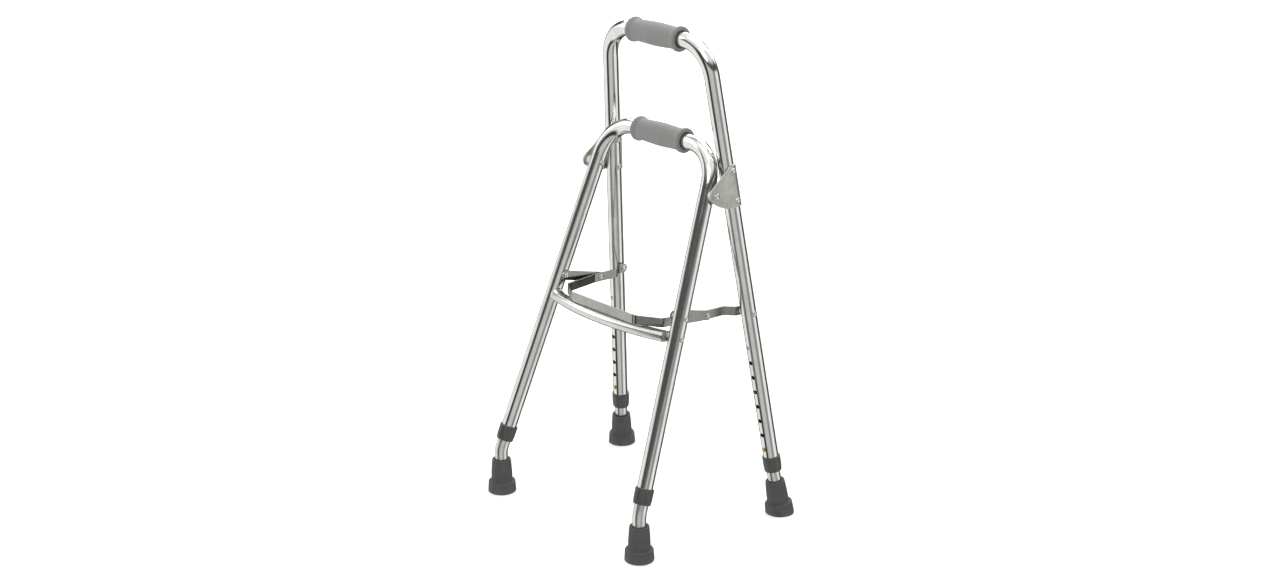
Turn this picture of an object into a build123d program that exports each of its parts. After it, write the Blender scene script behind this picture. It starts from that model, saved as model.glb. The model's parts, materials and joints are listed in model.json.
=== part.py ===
from build123d import *
from math import atan, cos, hypot, radians, sin, sqrt
import os

os.makedirs("parts", exist_ok=True)

# Folding side walking frame. Millimetres, +Z up, floor at z = 0, the short frame toward -Y.

# ---- driving dimensions ----
tube_od = 25.4
tube_wall = 1.2
inner_od = 22.2
inner_wall = 1.2
tall_height = 779.0        # grip axis of the tall frame above the floor
tall_half = 197.2          # half width between the tall leg axes at the floor
tall_splay = 0.108         # inward run of a tall leg per unit of height
tall_y = 144.46            # leg axis at the floor
tall_lean = -0.124         # Y run per unit of height
tall_bend = 57.0
short_height = 616.0
short_half = 181.0
short_splay = 0.093
short_y = -172.84
short_lean = 0.376
short_bend = 60.0
hinge_z = 549.5            # hinge axis, on the short leg axes
brace_z = 348.0            # brace pivot, on the tall leg axes
link_z = 368.0             # link pivot, on the short leg axes
mid_y = 37.7               # rivet that joins a link to a brace arm
brace_front_x = 77.9
brace_front_y = -67.7
brace_corner_x = 114.7
brace_corner_y = -44.3
brace_rise = 5.6           # how far the front of the brace stands above its pivots
strap_step_y = 74.0           # the strap steps outward here, behind the reach of the folding link
strap_pad_run = 12.0          # straight strap in front of its pivot
strap_height = 15.0
strap_thick = 2.5
bow_rivet_z = 338.0
bow_end_y = -60.0          # top front edge of the bow where it meets its tabs
bow_sag = 18.0
bow_nose = 5.5             # how far the round front face stands forward
bow_shelf = 12.0           # depth of the top flange the brace rests on
bow_lip = 5.0
bow_height = 15.5
bow_wall = 1.6
hole_pitch = 25.4
hole_r = 3.6
hole_count = 8             # in each outer leg
detents = 7                # positions of the inner leg
tall_button_z = 115.5
short_button_z = 130.0
collar_height = 26.0
collar_or = 14.9
tip_height = 58.0
tip_base_r = 23.5
tip_sole = 12.0            # rubber under the steel insert
short_bend_z = 75.0        # where the short inner legs turn upright
short_leg_bend = 40.0
grip_length = 112.0
grip_or = 19.0
rivet_r = 2.6
head_r = 4.7
head_h = 2.3
plate_thick = 2.5

# ---- clearances ----
slip = 0.05                # parts that sit together and do not move
turn_gap = 0.15            # faces and bores that turn on each other
tube_r = tube_od / 2
bore_r = tube_r - tube_wall
inner_r = inner_od / 2
inner_bore_r = inner_r - inner_wall

TALL = (tall_half, tall_splay, tall_y, tall_lean)
SHORT = (short_half, short_splay, short_y, short_lean)
SIDES = (("left", -1), ("right", 1))


def leg_point(frame, side, z):
    half, splay, y, lean = frame
    return Vector(side * (half - splay * z), y + lean * z, z)


def leg_down(frame, side):
    half, splay, y, lean = frame
    return Vector(side * splay, -lean, -1).normalized()


def square_to(direction, guide):
    """The unit vector nearest guide that is square to direction."""
    return (guide - direction * guide.dot(direction)).normalized()


def leg_plane(frame, side, z, guide=None):
    """Local z runs down the leg, local x toward the other frame unless a guide is given."""
    down = leg_down(frame, side)
    inward = Vector(0, -1 if frame is TALL else 1, 0)
    return Plane(origin=leg_point(frame, side, z), x_dir=square_to(down, guide or inward), z_dir=down)


def rod(start, end, radius, mode=Mode.ADD):
    start, end = Vector(*start), Vector(*end)
    axis = end - start
    with Locations(Plane(origin=start, z_dir=axis).location):
        Cylinder(radius, axis.length, align=(Align.CENTER, Align.CENTER, Align.MIN), mode=mode)


def x_rod(x0, x1, y, z, radius, mode=Mode.ADD):
    rod((x0, y, z), (x1, y, z), radius, mode)


def leg_rod(frame, side, radius, z0=20.0, z1=600.0, mode=Mode.ADD):
    rod(leg_point(frame, side, z0), leg_point(frame, side, z1), radius, mode)


def turn_plane(origin, direction):
    """A plane whose local y runs along direction, for a profile of (radius, height) points."""
    direction = Vector(*direction).normalized()
    guide = Vector(0, 0, 1) if abs(direction.Z) < 0.9 else Vector(1, 0, 0)
    across = square_to(direction, guide)
    return Plane(origin=origin, x_dir=across, z_dir=across.cross(direction))


def rivet_head(seat, direction, radius=head_r, height=head_h, skirt=0.0, dimple=0.35):
    """A domed head on a seat point. A skirt carries it down to a round tube."""
    flat = radius * 0.3
    with BuildSketch(turn_plane(seat, direction)) as profile:
        with BuildLine():
            Polyline((0, height - dimple), (0, -skirt), (radius, -skirt), (radius, height * 0.3))
            ThreePointArc((radius, height * 0.3), (radius * 0.76, height * 0.78), (flat, height))
            Polyline((flat, height), (flat * 0.8, height - dimple), (0, height - dimple))
        make_face()
    with BuildPart(mode=Mode.PRIVATE) as cap:
        revolve(profile.sketch, axis=Axis(seat, direction))
    add(cap.part)


def leg_section(frame):
    """Corner points of the frame in its own leaning plane."""
    half, splay, y, lean = frame
    height = tall_height if frame is TALL else short_height
    top = Vector(0, y + lean * height, height)
    return Plane(origin=top, x_dir=(1, 0, 0), z_dir=(0, -1, lean)), height


def frame_tube(frame, end_z, bend):
    half, splay, y, lean = frame
    plane, height = leg_section(frame)
    grow = sqrt(1 + lean * lean)
    corner = half - splay * height
    foot = half - splay * end_z
    drop = (end_z - height) * grow
    with BuildLine(plane) as path:
        FilletPolyline((-foot, drop), (-corner, 0), (corner, 0), (foot, drop), radius=bend)
    with BuildSketch(Plane(origin=path.line @ 0, z_dir=path.line % 0)) as ring:
        Circle(tube_r)
        Circle(bore_r, mode=Mode.SUBTRACT)
    sweep(ring.sketch, path=path.line)


def strap_points(points, thick):
    """Mitred outline of a bent strip about its centre line."""
    left, right = [], []
    for i, p in enumerate(points):
        dirs = []
        if i > 0:
            dirs.append((p[0] - points[i - 1][0], p[1] - points[i - 1][1]))
        if i < len(points) - 1:
            dirs.append((points[i + 1][0] - p[0], points[i + 1][1] - p[1]))
        norms = [(-d[1] / hypot(*d), d[0] / hypot(*d)) for d in dirs]
        nx = sum(n[0] for n in norms)
        ny = sum(n[1] for n in norms)
        size = hypot(nx, ny)
        nx, ny = nx / size, ny / size
        stretch = thick / 2 / (nx * norms[0][0] + ny * norms[0][1])
        left.append((p[0] + nx * stretch, p[1] + ny * stretch))
        right.append((p[0] - nx * stretch, p[1] - ny * stretch))
    return left + right[::-1]


# ---- pivot positions ----
hinge_y = short_y + short_lean * hinge_z
brace_y = tall_y + tall_lean * brace_z
link_y = short_y + short_lean * link_z
bow_rivet_y = short_y + short_lean * bow_rivet_z
brace_tilt = brace_rise / (brace_y - brace_front_y)
mid_z = brace_z + brace_tilt * (brace_y - mid_y)


def tube_side_x(frame, z):
    """Half width of a leg axis at a height, and the reach of its wall along X."""
    half, splay, y, lean = frame
    reach = tube_r * sqrt(1 + splay * splay)
    return half - splay * z, reach


# X stations of the riveted stacks, for the +X side
x_tall, reach_tall = tube_side_x(TALL, brace_z)
x_link, reach_short = tube_side_x(SHORT, link_z)
x_bow, _ = tube_side_x(SHORT, bow_rivet_z)
x_hinge, _ = tube_side_x(SHORT, hinge_z)
brace_pad_out = x_tall - reach_tall - 2.4
brace_pad_x = brace_pad_out - turn_gap - strap_thick / 2
link_out = x_link - reach_short - 1.6
link_in = link_out - plate_thick
strap_mid_x = link_in - 2 * turn_gap - strap_thick / 2
bow_tab_out = x_bow - reach_short - 1.4
bow_tab_x = bow_tab_out - strap_thick / 2 - slip

# hinge bracket: local frame on the tall leg, x outward, z down the leg
bracket_z = 558.0
bracket_up = 24.5
bracket_down = 24.0


def bracket_plane(side):
    return leg_plane(TALL, side, bracket_z, Vector(side, 0, 0))


def in_plane(plane, point):
    rel = Vector(*point) - plane.origin
    return rel.dot(plane.x_dir), rel.dot(plane.y_dir), rel.dot(plane.z_dir)


web_in = tube_r + slip
web_out = web_in + plate_thick
right_bracket = bracket_plane(1)
pivot_n, pivot_e, pivot_a = in_plane(right_bracket, (0, hinge_y, hinge_z))
a_at_pivot = right_bracket.origin
# X of the web faces where the hinge axis crosses them
web_x_in = (web_in + right_bracket.x_dir.dot(a_at_pivot)
            - right_bracket.x_dir.Y * hinge_y - right_bracket.x_dir.Z * hinge_z) / right_bracket.x_dir.X
web_x_out = web_x_in + plate_thick / right_bracket.x_dir.X
boss_r = 8.5
boss_in = web_x_in - 0.9
boss_out = web_x_out + 0.9
hinge_face = boss_in - turn_gap


# ---- the two bent frames ----
collar_drop = 15.5          # from the snap button to the top of the collar
seat_drop = collar_drop + collar_height - 3.0
tall_end_z = tall_button_z + leg_down(TALL, 1).Z * seat_drop
short_end_z = short_button_z + leg_down(SHORT, 1).Z * seat_drop


def adjusting_holes(frame, side, button_z, count, radius, inner=0.0):
    plane = leg_plane(frame, side, button_z)
    for k in range(count):
        centre = plane.origin - plane.z_dir * (hole_pitch * k)
        rod(centre + plane.x_dir * 4, centre + plane.x_dir * 16, radius, Mode.SUBTRACT)


with BuildPart() as tall_frame_tube:
    frame_tube(TALL, tall_end_z, tall_bend)
    for name, side in SIDES:
        adjusting_holes(TALL, side, tall_button_z, hole_count, hole_r)
        x_rod(side * (x_tall - 20), side * (x_tall + 20), brace_y, brace_z, rivet_r + slip, Mode.SUBTRACT)
        local = bracket_plane(side)
        for a in (-bracket_up, bracket_down):
            centre = local.origin + local.z_dir * a
            rod(centre - local.x_dir * 20, centre + local.x_dir * 20, rivet_r + slip, Mode.SUBTRACT)

with BuildPart() as short_frame_tube:
    frame_tube(SHORT, short_end_z, short_bend)
    for name, side in SIDES:
        adjusting_holes(SHORT, side, short_button_z, hole_count, hole_r)
        for x, y, z in ((x_hinge, hinge_y, hinge_z), (x_link, link_y, link_z),
                        (x_bow, bow_rivet_y, bow_rivet_z)):
            x_rod(side * (x - 20), side * (x + 20), y, z, rivet_r + slip, Mode.SUBTRACT)


# ---- hand grips ----
def hand_grip(frame):
    plane, height = leg_section(frame)
    half = grip_length / 2
    flange = grip_or + 1.2
    neck = grip_or - 1.4
    with BuildSketch(Plane(origin=plane.origin, x_dir=(1, 0, 0), z_dir=(0, -1, 0))) as profile:
        with BuildLine():
            edge = Polyline((-half + 1.5, tube_r + slip), (-half, tube_r + 2.5), (-half, flange - 2.5))
            a = RadiusArc(edge @ 1, (-half + 2.5, flange), 2.5)
            b = Line(a @ 1, (-half + 5.0, flange))
            c = Spline(b @ 1, (-half + 11, neck), (0, grip_or), (half - 11, neck), (half - 5.0, flange),
                       tangents=((1, -0.3), (1, 0.3)))
            d = Line(c @ 1, (half - 2.5, flange))
            e = RadiusArc(d @ 1, (half, flange - 2.5), 2.5)
            Polyline(e @ 1, (half, tube_r + 2.5), (half - 1.5, tube_r + slip), edge @ 0)
        make_face()
    revolve(profile.sketch, axis=Axis(plane.origin, (1, 0, 0)))


with BuildPart() as tall_grip:
    hand_grip(TALL)
with BuildPart() as short_grip:
    hand_grip(SHORT)


# ---- hinge brackets ----
def hinge_bracket(side):
    """A triangular web outside the leg that wraps round the back of the tall tube."""
    local = bracket_plane(side)
    forward = square_to(local.z_dir, Vector(0, -1, 0))
    forward = square_to(local.x_dir, forward)
    section = Plane(origin=local.origin - local.z_dir * 45, x_dir=local.x_dir, z_dir=local.z_dir)
    sign = 1 if section.y_dir.dot(forward) > 0 else -1
    back = radians(112)
    with BuildSketch(section) as wrap:
        with BuildLine():
            p = [(web_in, 60 * sign), (web_in, 0), (web_out, 0), (web_out, 60 * sign)]
            turn = (cos(back), -sin(back) * sign)
            half_turn = (cos(back / 2), -sin(back / 2) * sign)
            inner_end = (web_in * turn[0], web_in * turn[1])
            outer_end = (web_out * turn[0], web_out * turn[1])
            Line(p[0], p[1])
            ThreePointArc(p[1], (web_in * half_turn[0], web_in * half_turn[1]), inner_end)
            Line(inner_end, outer_end)
            ThreePointArc(outer_end, (web_out * half_turn[0], web_out * half_turn[1]), p[2])
            Line(p[2], p[3])
            Line(p[3], p[0])
        make_face()
    extrude(wrap.sketch, amount=90)
    # side outline: u along forward, v up the leg
    outline = Plane(origin=local.origin - local.x_dir * 20, x_dir=forward, z_dir=local.x_dir)
    up = 1 if outline.y_dir.dot(local.z_dir) < 0 else -1
    rel = Vector(0, hinge_y, hinge_z) - Vector(0, local.origin.Y, local.origin.Z)
    pu = rel.dot(forward)
    pv = -rel.dot(local.z_dir)
    with BuildSketch(outline, mode=Mode.PRIVATE) as shape:
        with BuildLine():
            top = bracket_up + 8.5
            low = -bracket_down - 9.5
            m1 = Line((-17, low * up), (-17, top * up))
            m2 = Line(m1 @ 1, (5.0, top * up))
            m3 = Line(m2 @ 1, (pu + 7.2, (pv + 10.6) * up))
            m4 = ThreePointArc(m3 @ 1, (pu + 12.6, (pv + 0.5) * up), (pu + 5.5, (pv - 11.5) * up))
            m5 = ThreePointArc(m4 @ 1, (pu * 0.52 + 6, (low * 0.66 + pv * 0.34 - 5.0) * up), (8.0, (low + 0.5) * up))
            Polyline(m5 @ 1, (5.0, low * up), m1 @ 0)
        make_face()
    with BuildPart(mode=Mode.PRIVATE) as prism:
        extrude(shape.sketch, amount=45)
    add(prism.part, mode=Mode.INTERSECT)
    x_rod(side * boss_in, side * boss_out, hinge_y, hinge_z, boss_r)
    x_rod(side * (boss_in - 5), side * (boss_out + 5), hinge_y, hinge_z, rivet_r + turn_gap, Mode.SUBTRACT)
    for a in (-bracket_up, bracket_down):
        centre = local.origin + local.z_dir * a
        rod(centre + local.x_dir * 8, centre + local.x_dir * 20, rivet_r + slip, Mode.SUBTRACT)


with BuildPart() as hinge_bracket_left:
    hinge_bracket(-1)
with BuildPart() as hinge_bracket_right:
    hinge_bracket(1)

with BuildPart() as bracket_rivets:
    for name, side in SIDES:
        local = bracket_plane(side)
        for a in (-bracket_up, bracket_down):
            centre = local.origin + local.z_dir * a
            with BuildPart(mode=Mode.PRIVATE) as inner_head:
                rivet_head(centre - local.x_dir * tube_r, -local.x_dir, skirt=2.5)
                leg_rod(TALL, side, tube_r + slip / 2, 400, 700, mode=Mode.SUBTRACT)
            add(inner_head.part)
            rod(centre - local.x_dir * (tube_r + 0.5), centre + local.x_dir * (web_out + 0.5), rivet_r)
            rivet_head(centre + local.x_dir * (web_out + slip), local.x_dir)


# ---- stacks on the leg tubes: a conforming head on one side, a saddle washer on the other ----
def tube_head(frame, side, x, y, z, way):
    """A head on the tube wall, way +1 outward or -1 inward."""
    reach = reach_tall if frame is TALL else reach_short
    with BuildPart(mode=Mode.PRIVATE) as head:
        rivet_head((side * (x + way * reach), y, z), (side * way, 0, 0), skirt=2.5)
        leg_rod(frame, side, tube_r + slip / 2, z - 60, z + 60, mode=Mode.SUBTRACT)
    add(head.part)


def saddle(frame, side, x, y, z, face_x, radius):
    """A washer that follows the tube on one side and is flat, square to X, on the other."""
    with BuildPart(mode=Mode.PRIVATE) as washer:
        x_rod(side * x, side * face_x, y, z, radius)
        leg_rod(frame, side, tube_r + slip, z - 60, z + 60, mode=Mode.SUBTRACT)
        x_rod(side * (x - 30), side * (x + 30), y, z, rivet_r + slip, Mode.SUBTRACT)
    add(washer.part)


with BuildPart() as hinge_pivot_rivets:
    for name, side in SIDES:
        tube_head(SHORT, side, x_hinge, hinge_y, hinge_z, -1)
        x_rod(side * (x_hinge - reach_short - 0.5), side * (boss_out + turn_gap + 0.5), hinge_y, hinge_z, rivet_r)
        rivet_head((side * (boss_out + turn_gap), hinge_y, hinge_z), (side, 0, 0), radius=5.4, height=2.8)

with BuildPart() as hinge_spacers:
    for name, side in SIDES:
        saddle(SHORT, side, x_hinge, hinge_y, hinge_z, hinge_face, 7.5)

with BuildPart() as brace_pivot_washers:
    for name, side in SIDES:
        saddle(TALL, side, x_tall, brace_y, brace_z, brace_pad_out, 6.5)

brace_pad_in = brace_pad_out - turn_gap - strap_thick
with BuildPart() as brace_pivot_rivets:
    for name, side in SIDES:
        tube_head(TALL, side, x_tall, brace_y, brace_z, 1)
        x_rod(side * (x_tall + reach_tall + 0.5), side * (brace_pad_in - turn_gap - 0.5), brace_y, brace_z, rivet_r)
        rivet_head((side * (brace_pad_in - turn_gap), brace_y, brace_z), (-side, 0, 0))

with BuildPart() as link_pivot_washers:
    for name, side in SIDES:
        saddle(SHORT, side, x_link, link_y, link_z, link_out + turn_gap, 6.0)

with BuildPart() as link_pivot_rivets:
    for name, side in SIDES:
        tube_head(SHORT, side, x_link, link_y, link_z, 1)
        x_rod(side * (x_link + reach_short + 0.5), side * (link_in - turn_gap - 0.5), link_y, link_z, rivet_r)
        rivet_head((side * (link_in - turn_gap), link_y, link_z), (-side, 0, 0))

with BuildPart() as bow_washers:
    for name, side in SIDES:
        saddle(SHORT, side, x_bow, bow_rivet_y, bow_rivet_z, bow_tab_out, 6.0)

bow_tab_in = bow_tab_x - strap_thick / 2
with BuildPart() as bow_rivets:
    for name, side in SIDES:
        tube_head(SHORT, side, x_bow, bow_rivet_y, bow_rivet_z, 1)
        x_rod(side * (x_bow + reach_short + 0.5), side * (bow_tab_in - slip - 0.5), bow_rivet_y, bow_rivet_z, rivet_r)
        rivet_head((side * (bow_tab_in - slip), bow_rivet_y, bow_rivet_z), (-side, 0, 0))


# ---- release brace: one strap bent into a half octagon, with a front plate ----
brace_plane = Plane(origin=(0, brace_y, brace_z), x_dir=(1, 0, 0), z_dir=(0, brace_tilt, 1))


def brace_outline():
    right = [
        (brace_pad_x, 0),
        (brace_pad_x, -strap_pad_run),
        (strap_mid_x, strap_step_y - brace_y),
        (strap_mid_x, mid_y - 13.0 - brace_y),
        (brace_corner_x, brace_corner_y - brace_y),
        (brace_front_x, brace_front_y - brace_y),
    ]
    return [(-x, y) for x, y in right] + right[::-1]


with BuildPart() as brace_strap:
    with BuildLine(brace_plane) as strap_path:
        FilletPolyline(*brace_outline(), radius=7)
    with BuildSketch(Plane(origin=strap_path.line @ 0, x_dir=brace_plane.z_dir, z_dir=strap_path.line % 0)):
        RectangleRounded(strap_height, strap_thick, 0.5)
    sweep(path=strap_path.line)
    for name, side in SIDES:
        x_rod(side * (brace_pad_x - strap_thick / 2), side * (brace_pad_x + strap_thick / 2),
              brace_y, brace_z, strap_height / 2)
        x_rod(side * (brace_pad_x - 6), side * (brace_pad_x + 6), brace_y, brace_z, rivet_r + turn_gap, Mode.SUBTRACT)
        x_rod(side * (strap_mid_x - 6), side * (strap_mid_x + 6), mid_y, mid_z, rivet_r + slip, Mode.SUBTRACT)

front_plane = Plane(origin=(0, brace_front_y, brace_z + brace_tilt * (brace_y - brace_front_y)),
                    x_dir=(1, 0, 0), z_dir=(0, -1, brace_tilt))
with BuildPart() as brace_plate:
    with BuildSketch(front_plane.offset(strap_thick / 2 + slip)):
        with Locations((0, 0.5)):
            RectangleRounded(2 * brace_front_x - 9, strap_height + 1.0, 1.6)
    extrude(amount=1.3)
    fillet(brace_plate.edges().group_by(Axis.Y)[0], radius=0.5)

with BuildPart() as brace_mid_studs:
    for name, side in SIDES:
        x_rod(side * (strap_mid_x + strap_thick / 2 - slip), side * (strap_mid_x - strap_thick / 2 - 0.5),
              mid_y, mid_z, rivet_r)
        rivet_head((side * (strap_mid_x - strap_thick / 2 - slip), mid_y, mid_z), (-side, 0, 0))


# ---- links from the short legs to the brace arms ----
def link_plate(side):
    run_y, run_z = mid_y - link_y, mid_z - link_z
    size = hypot(run_y, run_z)
    plane = Plane(origin=(side * link_in, (link_y + mid_y) / 2, (link_z + mid_z) / 2),
                  x_dir=(0, run_y / size, run_z / size), z_dir=(side, 0, 0))
    with BuildSketch(plane) as slot:
        SlotCenterToCenter(size, 16.0)
    extrude(slot.sketch, amount=plate_thick)
    x_rod(side * (link_in - 3), side * (link_out + 3), link_y, link_z, rivet_r + turn_gap, Mode.SUBTRACT)
    x_rod(side * (link_in - 3), side * (link_out + 3), mid_y, mid_z, rivet_r + slip, Mode.SUBTRACT)


def link_stud(side):
    x_rod(side * (link_in + slip), side * (link_out + 0.5), mid_y, mid_z, rivet_r)
    rivet_head((side * (link_out + slip), mid_y, mid_z), (side, 0, 0))


with BuildPart() as link_left:
    link_plate(-1)
    fillet(link_left.edges().filter_by(lambda e: e.length > 20), radius=0.5)
with BuildPart() as link_right:
    link_plate(1)
    fillet(link_right.edges().filter_by(lambda e: e.length > 20), radius=0.5)
with BuildPart() as link_stud_left:
    link_stud(-1)
with BuildPart() as link_stud_right:
    link_stud(1)

# ---- bow bar across the short legs: a pressed channel, round face forward ----
bow_top = brace_z + brace_rise - strap_height / 2 - 0.7
bow_mid_z = bow_top - bow_height / 2
with BuildPart() as bow_bar:
    with BuildLine(Plane.XY.offset(bow_mid_z)) as bow_path:
        ends = bow_tab_in + 1.0
        ThreePointArc((-ends, bow_end_y, 0), (0, bow_end_y - bow_sag, 0), (ends, bow_end_y, 0))
    with BuildSketch(Plane(origin=bow_path.line @ 0, x_dir=(0, 0, 1), z_dir=bow_path.line % 0)) as bow_face:
        with BuildLine():
            h, w = bow_height / 2, bow_wall
            s1 = Line((-h, -bow_lip), (-h, 0))
            s2 = ThreePointArc(s1 @ 1, (0, bow_nose), (h, 0))
            s3 = Line(s2 @ 1, (h, -bow_shelf))
            s4 = Line(s3 @ 1, (h - w, -bow_shelf))
            s5 = Line(s4 @ 1, (h - w, -0.4))
            s6 = ThreePointArc(s5 @ 1, (0, bow_nose - w), (-h + w, -0.4))
            s7 = Line(s6 @ 1, (-h + w, -bow_lip))
            Line(s7 @ 1, s1 @ 0)
        make_face()
    sweep(path=bow_path.line)
    for name, side in SIDES:
        with BuildSketch(Plane(origin=(side * bow_tab_in, 0, 0), x_dir=(0, 1, 0), z_dir=(side, 0, 0))):
            with BuildLine():
                y0, y1 = bow_end_y - 2.5, bow_rivet_y
                lo, hi = bow_mid_z - bow_height / 2, bow_mid_z + bow_height / 2
                r = bow_height / 2
                t1 = Line((y1, side * lo), (y0, side * lo))
                t2 = Line(t1 @ 1, (y0, side * hi))
                t3 = Line(t2 @ 1, (y1, side * hi))
                ThreePointArc(t3 @ 1, (y1 + r, side * bow_mid_z), t1 @ 0)
            make_face()
        extrude(amount=strap_thick)
        x_rod(side * (bow_tab_in - 3), side * (bow_tab_in + 6), bow_rivet_y, bow_rivet_z, rivet_r + slip, Mode.SUBTRACT)


# ---- lower legs: collar, inner tube, tip, steel insert, snap button and its spring ----
def leg_collar(frame, side, button_z):
    plane = leg_plane(frame, side, button_z)
    start = plane.origin + plane.z_dir * collar_drop
    axis_plane = Plane(origin=start, x_dir=plane.x_dir, z_dir=plane.y_dir)
    down = 1 if axis_plane.y_dir.dot(plane.z_dir) > 0 else -1
    seat = collar_height - 3.0
    with BuildSketch(axis_plane) as profile:
        with BuildLine():
            Polyline(
                (tube_r + slip, 0), (collar_or - 0.6, 0), (collar_or, 0.8 * down),
                (collar_or - 0.1, (collar_height - 8) * down), (collar_or - 0.9, (collar_height - 1.6) * down),
                (collar_or - 2.0, collar_height * down), (inner_r + 0.12, collar_height * down),
                (inner_r + 0.12, (seat + slip) * down), (tube_r + slip, (seat + slip) * down), close=True)
        make_face()
    revolve(profile.sketch, axis=Axis(start, plane.z_dir))
    with Locations(Plane(origin=start + plane.z_dir * 12, x_dir=plane.x_dir, z_dir=plane.z_dir).location
                   * Location((-collar_or - 0.1, 0, 0))):
        Box(2.4, 6.5, 18.0)


def inner_leg(frame, side, button_z):
    plane = leg_plane(frame, side, button_z)
    top = plane.origin - plane.z_dir * (hole_pitch * (detents - 1) + 48)
    if frame is TALL:
        foot = leg_point(TALL, side, (tip_sole + 1.5) * 1.0)
        with BuildLine() as path:
            Line(top, foot)
    else:
        bend = leg_point(SHORT, side, short_bend_z)
        foot = Vector(bend.X, bend.Y, tip_sole + 1.5)
        with BuildLine() as path:
            FilletPolyline(top, bend, foot, radius=short_leg_bend)
    with BuildSketch(Plane(origin=path.line @ 0, z_dir=path.line % 0)) as ring:
        Circle(inner_r)
        Circle(inner_bore_r, mode=Mode.SUBTRACT)
    sweep(ring.sketch, path=path.line)
    adjusting_holes(frame, side, button_z, detents, hole_r)


def tip_frame(frame, side):
    """Axis of a rubber tip: down the leg on the tall side, upright on the short side."""
    if frame is TALL:
        return leg_point(TALL, side, 0), leg_down(TALL, side) * -1
    bend = leg_point(SHORT, side, short_bend_z)
    return Vector(bend.X, bend.Y, 0), Vector(0, 0, 1)


def rubber_tip(frame, side):
    foot, up = tip_frame(frame, side)
    ref = square_to(up, Vector(1, 0, 0))
    plane = Plane(origin=foot, x_dir=ref, z_dir=ref.cross(up))
    low = -6.0 if frame is TALL else 0.0
    with BuildSketch(plane) as profile:
        with BuildLine():
            Polyline(
                (0, low), (tip_base_r + (0.0 if frame is TALL else -0.8), low), (tip_base_r, 1.0),
                (tip_base_r - 1.0, 17.0), (tip_base_r - 2.6, 18.8), (tip_base_r - 4.6, 19.6),
                (inner_r + 5.0, tip_height - 3.5), (inner_r + 4.5, tip_height - 0.8),
                (inner_r + 3.4, tip_height), (inner_r + 1.0, tip_height),
                (inner_r + slip, tip_height - 1.2), (inner_r + slip, tip_sole), (0, tip_sole), close=True)
        make_face()
    revolve(profile.sketch, axis=Axis(foot, up))
    if frame is TALL:
        with Locations(Location((foot.X, foot.Y, -20))):
            Box(90, 90, 40, mode=Mode.SUBTRACT)
    for r in (6.5, 11.5, 16.5):
        with BuildPart(mode=Mode.PRIVATE) as ring:
            with Locations(Location((foot.X, foot.Y, 0.6))):
                Cylinder(r + 1.0, 1.2)
                Cylinder(r - 1.0, 2.0, mode=Mode.SUBTRACT)
        add(ring.part, mode=Mode.SUBTRACT)


def tip_washer(frame, side):
    foot, up = tip_frame(frame, side)
    rod(foot + up * tip_sole, foot + up * (tip_sole + 1.4), inner_r - 0.2)
    rod(foot + up * (tip_sole - 1), foot + up * (tip_sole + 3), 3.0, Mode.SUBTRACT)


def snap_button(frame, side, button_z):
    plane = leg_plane(frame, side, button_z)
    c, x = plane.origin, plane.x_dir
    rod(c + x * 8.3, c + x * (tube_r + 1.0), hole_r - 0.2)
    rivet_head(c + x * tube_r, x, radius=hole_r - 0.2, height=2.4, dimple=0.1)
    rod(c + x * 7.3, c + x * 8.3, 4.8)


def snap_spring(frame, side, button_z):
    plane = leg_plane(frame, side, button_z)
    leaf = Plane(origin=plane.origin - plane.y_dir * 4.0, x_dir=plane.x_dir, z_dir=plane.y_dir)
    up = -1 if leaf.y_dir.dot(plane.z_dir) > 0 else 1
    points = [(6.95, -7), (6.95, 26), (4.9, 33), (1.6, 35.5), (-1.6, 34), (-3.4, 29), (-8.0, 4)]
    with BuildSketch(leaf) as side_view:
        with BuildLine():
            Polyline(*strap_points([(u, v * up) for u, v in points], 0.6), close=True)
        make_face()
    extrude(side_view.sketch, amount=8.0)


LEGS = [
    (f"{size}_{name}", frame, side, button_z)
    for size, frame, button_z in (("tall", TALL, tall_button_z), ("short", SHORT, short_button_z))
    for name, side in SIDES
]
MAKERS = {
    "leg_collar": leg_collar,
    "inner_leg": inner_leg,
    "rubber_tip": lambda frame, side, z: rubber_tip(frame, side),
    "tip_washer": lambda frame, side, z: tip_washer(frame, side),
    "snap_button": snap_button,
    "snap_spring": snap_spring,
}
leg_parts = {}
for kind, maker in MAKERS.items():
    for tag, frame, side, button_z in LEGS:
        with BuildPart() as piece:
            maker(frame, side, button_z)
        leg_parts[f"{kind}_{tag}"] = piece

# ---- names and files ----
nodes = {
    "tall_frame_tube": tall_frame_tube,
    "short_frame_tube": short_frame_tube,
    "tall_grip": tall_grip,
    "short_grip": short_grip,
    "hinge_bracket_left": hinge_bracket_left,
    "hinge_bracket_right": hinge_bracket_right,
    "bracket_rivets": bracket_rivets,
    "hinge_pivot_rivets": hinge_pivot_rivets,
    "hinge_spacers": hinge_spacers,
    "brace_strap": brace_strap,
    "brace_plate": brace_plate,
    "brace_pivot_rivets": brace_pivot_rivets,
    "brace_pivot_washers": brace_pivot_washers,
    "brace_mid_studs": brace_mid_studs,
    "link_left": link_left,
    "link_right": link_right,
    "link_stud_left": link_stud_left,
    "link_stud_right": link_stud_right,
    "link_pivot_rivets": link_pivot_rivets,
    "link_pivot_washers": link_pivot_washers,
    "bow_bar": bow_bar,
    "bow_rivets": bow_rivets,
    "bow_washers": bow_washers,
    **leg_parts,
}
for name, piece in nodes.items():
    piece.part.label = name
    export_step(piece.part, f"parts/{name}.step")
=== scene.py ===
import json
import math

import bmesh
import bpy
from mathutils import Matrix, Vector

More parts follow.
